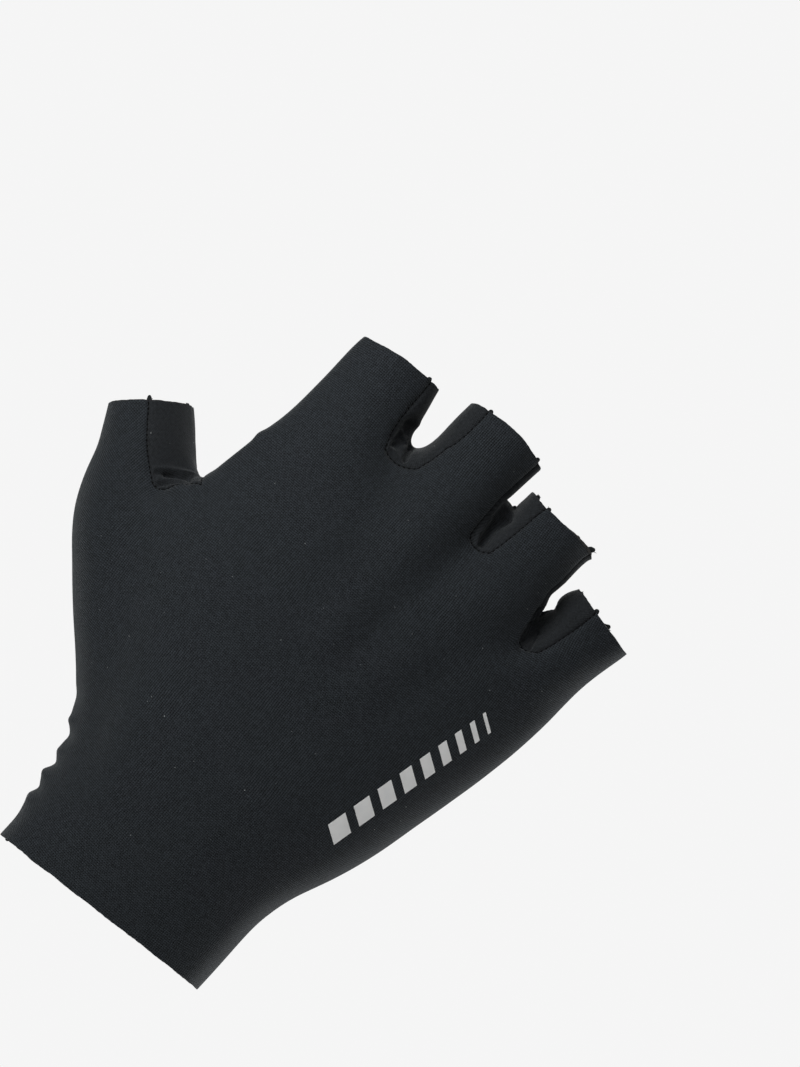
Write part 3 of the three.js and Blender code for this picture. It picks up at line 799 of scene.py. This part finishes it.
bpy.ops.object.select_all(action="DESELECT")
bpy.ops.mesh.primitive_uv_sphere_add(segments=8, ring_count=6, radius=1)
stitch = bpy.context.object
one = rows(stitch.data, "vertices", "co")[:, [0, 2, 1]] * np.array(STITCH)
one[:, 2] -= STITCH_DIVE * (one[:, 1] / STITCH[1]) ** 2
turn = np.array([[math.cos(STITCH_SLANT), math.sin(STITCH_SLANT)],
                 [-math.sin(STITCH_SLANT), math.cos(STITCH_SLANT)]])
one[:, :2] = one[:, :2] @ turn
stitch_faces = [list(face.vertices)[::-1] for face in stitch.data.polygons]
bpy.data.objects.remove(stitch)


def found_at(stops, reached, values):
    """Rows of x, y and z at these lengths of a seam, where values are known at those reached."""
    return np.stack([np.interp(stops, reached, values[:, k]) for k in range(3)], axis=1)


def evenly(run, pitch):
    """Places, directions and the cloth's directions along a seam, one to every pitch."""
    spots = run["places"]
    lengths = np.linalg.norm(np.diff(spots, axis=0), axis=1)
    reached = np.concatenate([[0], np.cumsum(lengths)])
    stops = np.arange(pitch * FIRST_STITCH, reached[-1], pitch)
    ahead = found_at(stops + LOOK_AHEAD, reached, spots)
    behind = found_at(stops - LOOK_AHEAD, reached, spots)
    up = found_at(stops, reached, run["normals"])
    return found_at(stops, reached, spots), ahead - behind, up


spots, faces = [], []
for run in runs:
    for at, along, up in zip(*evenly(run, STITCH_PITCH)):
        along = along / np.linalg.norm(along)
        up = up / np.linalg.norm(up)
        side = np.cross(along, up)
        side /= np.linalg.norm(side)
        axes = np.stack([side, along, np.cross(side, along)])
        first = len(spots) * len(one)
        spots.append(at + one @ axes)
        faces += [[first + k for k in face] for face in stitch_faces]
mesh = bpy.data.meshes.new("seam_stitches")
mesh.from_pydata(np.concatenate(spots).tolist(), [], faces)
stitches = bpy.data.objects.new("seam_stitches", mesh)
bpy.context.collection.objects.link(stitches)
take(stitches)
bpy.ops.object.mode_set(mode="EDIT")
bpy.ops.mesh.select_all(action="SELECT")
bpy.ops.mesh.normals_make_consistent(inside=False)
bpy.ops.object.mode_set(mode="OBJECT")
bpy.ops.object.shade_smooth()

# Polyester thread, its plies twisted together and dyed black. The eye gets dull black dashes
# with a faint unevenness, drawn coarser than the plies, which are too fine to show.
PLIES, PLY_HEIGHT = 0.2 * MM, 0.04 * MM
thread, output = new_material("twisted_polyester_thread")
place = add(thread, "ShaderNodeTexCoord").outputs["Object"]
twist = add(thread, "ShaderNodeTexNoise", {"Vector": place, "Scale": 1 / PLIES, "Detail": 2.0})
ply = add(
    thread, "ShaderNodeMix",
    {"Factor": twist.outputs["Fac"], 6: colour("#020202"), 7: colour("#0c0d0e")},
    data_type="RGBA",
)
relief = add(
    thread, "ShaderNodeBump", {"Height": twist.outputs["Fac"], "Distance": PLY_HEIGHT}
)
shader = add(
    thread, "ShaderNodeBsdfPrincipled",
    {"Base Color": ply.outputs[2], "Roughness": 0.85, "Specular IOR Level": 0.1,
     "Normal": relief.outputs["Normal"]},
)
thread.node_tree.links.new(shader.outputs[0], output.inputs["Surface"])
stitches.data.materials.append(thread)
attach(stitches, "root")

# Marks. A row of slanted dashes of pale reflective film, each narrower than the one before,
# heat-pressed on the back along the little finger's side.
MARK_START, MARK_END = Vector((30.2, 0, 45.9)) * MM, Vector((40.9, 0, 86.8)) * MM
MARK_HEIGHT = 4.4 * MM
MARK_SLANT = 1.6 * MM
MARK_COUNT = 9
WIDEST, NARROWEST = 4.6 * MM, 0.8 * MM
MARK_STEP, MARK_ROWS = 0.6 * MM, 8  # how finely a dash is divided, so that it follows the cloth
IN_FRONT = -40 * MM  # the dashes are laid out here, then pressed straight back on to the cloth
FILM = 0.08 * MM
FILM_GAP = 0.02 * MM  # keeps the film's underside clear of the cloth
FILM_SHARP = math.radians(40)  # what is sharper than this isn't shaded smooth

run_up = (MARK_END - MARK_START).normalized()
towards_thumb = Vector((-run_up.z, 0, run_up.x))
mark_widths = np.linspace(WIDEST, NARROWEST, MARK_COUNT)
mark_gap = ((MARK_END - MARK_START).length - mark_widths.sum()) / (MARK_COUNT - 1)
film_marks = []
begin = 0.0
for width in mark_widths:
    steps = max(3, round(width / MARK_STEP))
    bpy.ops.object.select_all(action="DESELECT")
    bpy.ops.mesh.primitive_grid_add(x_subdivisions=steps, y_subdivisions=MARK_ROWS, size=1)
    mark = bpy.context.object
    for vertex in mark.data.vertices:
        up, over = vertex.co.x + 0.5, vertex.co.y + 0.5
        slant = run_up * (begin + up * width + over * MARK_SLANT)
        vertex.co = MARK_START + slant + towards_thumb * over * MARK_HEIGHT
        vertex.co.y = IN_FRONT
    film_marks.append(mark)
    begin += width + mark_gap
bpy.ops.object.select_all(action="DESELECT")
for mark in film_marks:
    mark.select_set(True)
bpy.context.view_layer.objects.active = film_marks[0]
bpy.ops.object.join()
film = bpy.context.object
film.name = film.data.name = "reflective_dashes"
bpy.ops.object.mode_set(mode="EDIT")
bpy.ops.mesh.select_all(action="SELECT")
bpy.ops.mesh.normals_make_consistent(inside=False)
bpy.ops.object.mode_set(mode="OBJECT")
if film.data.polygons[0].normal.y > 0:
    film.data.flip_normals()
press = film.modifiers.new("pressed on", "SHRINKWRAP")
press.wrap_method = "PROJECT"
press.use_project_y = True
press.use_positive_direction = True
press.use_negative_direction = False
press.target = back
press.offset = FILM_GAP
bpy.ops.object.modifier_apply(modifier=press.name)
thick = film.modifiers.new("film", "SOLIDIFY")
thick.thickness = FILM
thick.offset = 1
bpy.ops.object.modifier_apply(modifier=thick.name)
bpy.ops.object.shade_smooth_by_angle(angle=FILM_SHARP)

# Transfer film with glass beads set in its face. The eye gets an even, nearly white grey without
# gloss. The beads are drawn coarser than real, because those are too fine to show.
BEAD, BEAD_HEIGHT, CLOUD = 0.12 * MM, 0.02 * MM, 3 * MM
foil, output = new_material("reflective_transfer_film")
place = add(foil, "ShaderNodeTexCoord").outputs["Object"]
beads = add(foil, "ShaderNodeTexVoronoi", {"Vector": place, "Scale": 1 / BEAD})
cloudy = add(foil, "ShaderNodeTexNoise", {"Vector": place, "Scale": 1 / CLOUD, "Detail": 4.0})
tone = add(
    foil, "ShaderNodeMix",
    {"Factor": cloudy.outputs["Fac"], 6: colour("#dadbdb"), 7: colour("#ececeb")},
    data_type="RGBA",
)
relief = add(
    foil, "ShaderNodeBump", {"Height": beads.outputs["Distance"], "Distance": BEAD_HEIGHT}
)
shader = add(
    foil, "ShaderNodeBsdfPrincipled",
    {"Base Color": tone.outputs[2], "Roughness": 0.5, "Specular IOR Level": 0.4,
     "Normal": relief.outputs["Normal"]},
)
foil.node_tree.links.new(shader.outputs[0], output.inputs["Surface"])
film.data.materials.append(foil)
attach(film, "root")

# Stage. A plain pale floor below the glove, soft studio light, and the camera in front of the
# back panel, rolled as the photograph is.
FLOOR_MIDDLE = (0, -100 * MM, -100 * MM)
FLOOR_SIZE = (0.8, 0.6, 1, 1)  # metres in x and y
bpy.ops.object.select_all(action="DESELECT")
bpy.ops.mesh.primitive_plane_add(size=1)
floor = bpy.context.object
floor.name = floor.data.name = "floor"
floor.data.transform(Matrix.Translation(FLOOR_MIDDLE) @ Matrix.Diagonal(FLOOR_SIZE))

# Uncoated paper from a roll. The eye gets an even matt white, faintly mottled.
MOTTLE = 60 * MM
paper, output = new_material("matt_studio_paper")
place = add(paper, "ShaderNodeTexCoord").outputs["Object"]
mottle = add(paper, "ShaderNodeTexNoise", {"Vector": place, "Scale": 1 / MOTTLE, "Detail": 3.0})
pulp = add(
    paper, "ShaderNodeMix",
    {"Factor": mottle.outputs["Fac"], 6: colour("#e9e9e8"), 7: colour("#f1f1f0")},
    data_type="RGBA",
)
shader = add(paper, "ShaderNodeBsdfPrincipled", {"Base Color": pulp.outputs[2], "Roughness": 0.9})
paper.node_tree.links.new(shader.outputs[0], output.inputs["Surface"])
floor.data.materials.append(paper)

BACKDROP = 0.915  # what the camera sees behind the glove
FRONT, BEHIND = 0.05, 0.75  # how much light comes from the room, and from the paper behind
PAPER_SIDE = (0.7, 0.71, 0)  # the paper is lit more on the little finger's side
world = bpy.data.worlds.new("pale_studio")
bpy.context.scene.world = world
world.use_nodes = True
world.node_tree.nodes.clear()
air = add(world, "ShaderNodeOutputWorld")
seen = add(world, "ShaderNodeLightPath")
sight = add(world, "ShaderNodeTexCoord").outputs["Generated"]
towards = add(
    world, "ShaderNodeVectorMath", {0: sight, 1: PAPER_SIDE}, operation="DOT_PRODUCT"
)
around = add(
    world, "ShaderNodeMapRange",
    {"Value": towards.outputs["Value"], "From Min": 0.2, "From Max": 0.9,
     "To Min": FRONT, "To Max": BEHIND},
)
bright = add(
    world, "ShaderNodeMapRange",
    {"Value": seen.outputs["Is Camera Ray"], "To Min": around.outputs[0], "To Max": BACKDROP},
)
sky = add(world, "ShaderNodeBackground", {"Color": (1, 1, 1, 1), "Strength": bright.outputs[0]})
world.node_tree.links.new(sky.outputs[0], air.inputs["Surface"])
bpy.context.scene.view_settings.view_transform = "Standard"

AIM = Vector((0, 0, 75 * MM))
LAMPS = (  # name, place in mm, size in mm, watts
    ("key", (-200, -230, 185), 160, 0.80),
    ("top_fill", (150, -480, 760), 500, 1.15),
    ("edge_light", (420, 200, -120), 300, 2.0),
    ("palm_light", (-200, 760, 420), 500, 3.2),
)
for name, place, size, watts in LAMPS:
    lamp = bpy.data.objects.new(name, bpy.data.lights.new(name, "AREA"))
    bpy.context.collection.objects.link(lamp)
    lamp.visible_camera = False
    lamp.data.size = size * MM
    lamp.data.energy = watts
    lamp.location = Vector(place) * MM
    lamp.rotation_euler = (AIM - lamp.location).to_track_quat("-Z", "Y").to_euler()

CAMERA_PLACE = (-2.5 * MM, -900 * MM, 107.4 * MM)
CAMERA_ROLL = 40  # degrees
SENSOR = 36  # mm
FOCAL_PIXELS, PHOTO_HEIGHT = 4050, 1067  # 900 mm away, a mm fills 4.5 of the photograph's pixels
camera = bpy.data.objects.new("camera", bpy.data.cameras.new("camera"))
bpy.context.collection.objects.link(camera)
bpy.context.scene.camera = camera
camera.data.sensor_width = SENSOR
camera.data.lens = FOCAL_PIXELS * SENSOR / PHOTO_HEIGHT
camera.location = CAMERA_PLACE
camera.rotation_euler = (math.radians(90), math.radians(-CAMERA_ROLL), 0)
